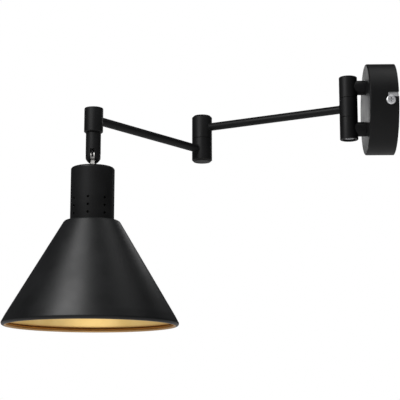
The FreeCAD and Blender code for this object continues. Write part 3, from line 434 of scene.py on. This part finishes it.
def shade_piece(materials):
    """The spun cone: black outside, gold inside, with a bead rolled inside the rim and a painted shadow in
    the crease above it.
    """
    low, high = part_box("shade")
    centre = (low + high) / 2
    top = high.z
    foot = low.z
    slope = (RIM_CORNER - SHADE_SHOULDER) / (top - foot)
    wall = SHADE_METAL * math.sqrt(1 + slope * slope)

    def inner_radius(level):
        return SHADE_SHOULDER + slope * (top - level) - wall

    bead_top = foot + BEAD_HEIGHT
    # top of the painted crease shadow on the wall above the bead
    painted_shadow_top = bead_top + PAINTED_CREASE_SHADOW_HEIGHT
    ceiling = top - SHADE_METAL
    black, bead, crease_painted_shadow, gold = range(4)
    outline = rounded_outline([
        (SHADE_HOLE, top, HOLE_ROUND, black),
        (SHADE_SHOULDER, top, SHOULDER_ROUND, black),
        (RIM_CORNER - slope * TURN_HEIGHT + TURN_SWELL, foot + TURN_HEIGHT, TURN_ROUND, black),
        (RIM_CORNER - TURN_REACH, foot, RIM_ROUND, black),
        (RIM_CORNER - BEAD_DEPTH, foot, BEAD_ROUND, bead),
        (RIM_CORNER - BEAD_DEPTH, bead_top, BEAD_ROUND, bead),
        # the crease over the bead and the wall just above it carry the painted shadow
        (inner_radius(bead_top), bead_top, BEAD_CREASE, crease_painted_shadow),
        (inner_radius(painted_shadow_top), painted_shadow_top, 0, gold),
        (inner_radius(ceiling), ceiling, SHOULDER_ROUND - SHADE_METAL, gold),
        (SHADE_HOLE, ceiling, HOLE_ROUND, gold),
    ])
    bm = lathe(outline, centre, SHADE_STEPS)
    bmesh.ops.recalc_face_normals(bm, faces=bm.faces)
    # the third material is the painted shadow in the crease above the bead
    piece = mesh_object("shade_spun", bm, [
        materials[name] for name in ("shade_coat", "gold_bead", "gold_crease_painted_shadow", "gold_inside")
    ])
    piece.modifiers.new("normals", "WEIGHTED_NORMAL").keep_sharp = True
    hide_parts("shade")
    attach(piece, "lamp_head")


def weld(name, body, axis, along, barrel_radius, material):
    """The bead of weld round an arm tube that leaves the upright barrel at `axis` towards `along`."""
    side = Vector((-along.y, along.x, 0))
    up = Vector((0, 0, 1))
    bm = bmesh.new()
    rings = []
    for step in range(WELD_STEPS):
        turn = 2 * math.pi * step / WELD_STEPS
        across = ARM_RADIUS * math.cos(turn)
        out = math.sqrt(barrel_radius**2 - across**2)
        seam = axis + side * across + up * ARM_RADIUS * math.sin(turn) + along * out
        away = side * math.cos(turn) + up * math.sin(turn)
        wave = WELD_RIPPLE * math.sin(turn * WELD_RIPPLES)
        ripple = 1 + wave + WELD_UNEVEN * noise.noise(seam * WELD_GRAIN)
        rings.append([
            bm.verts.new(seam + (away * math.cos(a) + along * math.sin(a)) * WELD_RADIUS * ripple)
            for a in (2 * math.pi * i / WELD_SIDES for i in range(WELD_SIDES))
        ])
    for step in range(WELD_STEPS):
        this = rings[step]
        after = rings[(step + 1) % WELD_STEPS]
        for i in range(WELD_SIDES):
            j = (i + 1) % WELD_SIDES
            bm.faces.new((this[i], this[j], after[j], after[i]))
    bmesh.ops.recalc_face_normals(bm, faces=bm.faces)
    piece = mesh_object(name, bm, [material])
    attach(piece, body)


def welds(materials):
    """A weld bead at each end of both arm tubes."""
    for body, tube, ends in (
        ("inner_arm", "inner_arm_tube", (("wall_end", "inner_knuckle"), ("elbow_end", "elbow_upper_barrel"))),
        ("outer_arm", "outer_arm_tube", (("elbow_end", "elbow_lower_barrel"), ("head_end", "head_barrel"))),
    ):
        level = middle(tube).z
        places = [middle(node) for _, node in ends]
        for i, (end, node) in enumerate(ends):
            axis = Vector((places[i].x, places[i].y, level))
            along = places[1 - i] - places[i]
            along.z = 0
            low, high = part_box(node)
            barrel_radius = (high.x - low.x) / 2
            weld(f"{body}_weld_{end}", body, axis, along.normalized(), barrel_radius, materials["black_coat"])


def fork_lead(material):
    """The stretch of lead between the stem and the tongue, drawn straight as it hangs at rest; nothing here
    bends it as the head tilts.
    """
    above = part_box("stem_lead")[0]
    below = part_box("head_lead")[1]
    centre = middle("stem_lead")
    radius = centre.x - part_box("stem_lead")[0].x
    bm = bmesh.new()
    rings = []
    for step in range(LEAD_STEPS + 1):
        level = above.z + LEAD_OVERLAP + (below.z - above.z - 2 * LEAD_OVERLAP) * step / LEAD_STEPS
        rings.append([
            bm.verts.new((centre.x + radius * math.cos(a), centre.y + radius * math.sin(a), level))
            for a in (2 * math.pi * i / LEAD_SIDES for i in range(LEAD_SIDES))
        ])
    for this, after in zip(rings, rings[1:]):
        for i in range(LEAD_SIDES):
            j = (i + 1) % LEAD_SIDES
            bm.faces.new((this[i], this[j], after[j], after[i]))
    bm.faces.new(rings[0])
    bm.faces.new(rings[-1])
    bmesh.ops.recalc_face_normals(bm, faces=bm.faces)
    piece = mesh_object("fork_lead", bm, [material])
    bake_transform(piece)


# ---------------------------------------------------------------- studio


def studio_floor():
    nodes = Nodes("pale_floor")
    clouds = nodes.noise(FLOOR_CLOUDS, 3)
    colour = nodes.blend(nodes.ramp(clouds, 0.3, 0.7), (0.86, 0.86, 0.86), (0.90, 0.90, 0.90))
    grain = nodes.bump(nodes.noise(FLOOR_GRAIN, 2), FLOOR_DEPTH)
    material = nodes.surface(
        colour, FLOOR_ROUGHNESS, grain, Emission_Color=WHITE, Emission_Strength=FLOOR_GLOW
    )
    bm = bmesh.new()
    bmesh.ops.create_grid(bm, x_segments=4, y_segments=4, size=FLOOR_SIZE / 2)
    floor = mesh_object("floor", bm, [material])
    floor.location = (0, 0, FLOOR_LEVEL)


def studio_world():
    """White to the camera's rays. To all others a dim room, brighter in front and low down."""
    world = bpy.data.worlds.new("studio")
    world.use_nodes = True
    tree = world.node_tree
    tree.nodes.clear()
    output = tree.nodes.new("ShaderNodeOutputWorld")
    seen = tree.nodes.new("ShaderNodeBackground")
    seen.inputs["Color"].default_value = WHITE
    lit = tree.nodes.new("ShaderNodeBackground")
    mix = tree.nodes.new("ShaderNodeMixShader")
    direction = tree.nodes.new("ShaderNodeVectorMath")
    direction.operation = "DOT_PRODUCT"
    direction.inputs[1].default_value = BRIGHT_WAY
    tree.links.new(tree.nodes.new("ShaderNodeTexCoord").outputs["Generated"], direction.inputs[0])
    shift = tree.nodes.new("ShaderNodeMapRange")
    shift.inputs["From Min"].default_value = -1.0
    shift.inputs["From Max"].default_value = 1.0
    gradient = tree.nodes.new("ShaderNodeValToRGB")
    dim, bright = gradient.color_ramp.elements
    dim.position = DIM_END
    dim.color = DIM_COLOUR
    bright.position = BRIGHT_END
    bright.color = BRIGHT_COLOUR
    tree.links.new(direction.outputs["Value"], shift.inputs["Value"])
    tree.links.new(shift.outputs["Result"], gradient.inputs["Fac"])
    tree.links.new(gradient.outputs["Color"], lit.inputs["Color"])
    tree.links.new(tree.nodes.new("ShaderNodeLightPath").outputs["Is Camera Ray"], mix.inputs["Fac"])
    tree.links.new(lit.outputs["Background"], mix.inputs[1])
    tree.links.new(seen.outputs["Background"], mix.inputs[2])
    tree.links.new(mix.outputs["Shader"], output.inputs["Surface"])
    bpy.context.scene.world = world


def softbox(name, place, target, width, height, power):
    data = bpy.data.lights.new(name, "AREA")
    data.shape = "RECTANGLE"
    data.size = width
    data.size_y = height
    data.energy = power
    lamp = bpy.data.objects.new(name, data)
    lamp.location = place
    lamp.rotation_mode = "QUATERNION"
    lamp.rotation_quaternion = (Vector(place) - Vector(target)).to_track_quat("Z", "Y")
    lamp.visible_camera = False
    bpy.context.scene.collection.objects.link(lamp)


def lights():
    head = middle("shade")
    softbox("key", head + Vector(KEY_TOWARDS) * KEY_REACH, head, KEY_SIZE, KEY_SIZE, KEY_POWER)
    softbox("fill", head + Vector(FILL_TOWARDS) * FILL_REACH, head, FILL_SIZE, FILL_SIZE, FILL_POWER)
    canopy = middle("canopy_cup")
    softbox("back_panel", canopy + Vector(PANEL_OFFSET), canopy, PANEL_SIZE, PANEL_SIZE, PANEL_POWER)
    under = Vector((head.x + GLOW_FORWARD, head.y, FLOOR_LEVEL + GLOW_LIFT))
    softbox("floor_glow", under, under + Vector((0, 0, 1)), GLOW_WIDTH, GLOW_HEIGHT, GLOW_POWER)


def camera():
    data = bpy.data.cameras.new("camera")
    data.sensor_width = SENSOR
    data.lens = FOCAL_PIXELS / FRAME_PIXELS * SENSOR
    data.clip_start = CAMERA_NEAR
    view = bpy.data.objects.new("camera", data)
    flat = math.cos(CAMERA_PITCH)
    forward = Vector((-math.cos(CAMERA_YAW) * flat, math.sin(CAMERA_YAW) * flat, math.sin(CAMERA_PITCH)))
    view.location = CAMERA_PLACE
    view.rotation_mode = "QUATERNION"
    view.rotation_quaternion = forward.to_track_quat("-Z", "Y")
    bpy.context.scene.collection.objects.link(view)
    bpy.context.scene.camera = view


with open("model.json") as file:
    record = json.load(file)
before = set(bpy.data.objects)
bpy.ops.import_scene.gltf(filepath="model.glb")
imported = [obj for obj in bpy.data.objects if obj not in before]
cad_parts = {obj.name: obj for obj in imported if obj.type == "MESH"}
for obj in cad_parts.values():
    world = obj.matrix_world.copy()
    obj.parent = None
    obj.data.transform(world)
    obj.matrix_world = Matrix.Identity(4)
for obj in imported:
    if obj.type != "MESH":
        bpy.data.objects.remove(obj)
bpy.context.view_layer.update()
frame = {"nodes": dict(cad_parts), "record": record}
camera()
finishes = make_materials()
finish_nodes(frame["nodes"], frame["record"], finishes)
shade_piece(finishes)
welds(finishes)
fork_lead(finishes["lead_sheath"])
studio_floor()
studio_world()
lights()
bpy.context.scene.view_settings.view_transform = "Standard"
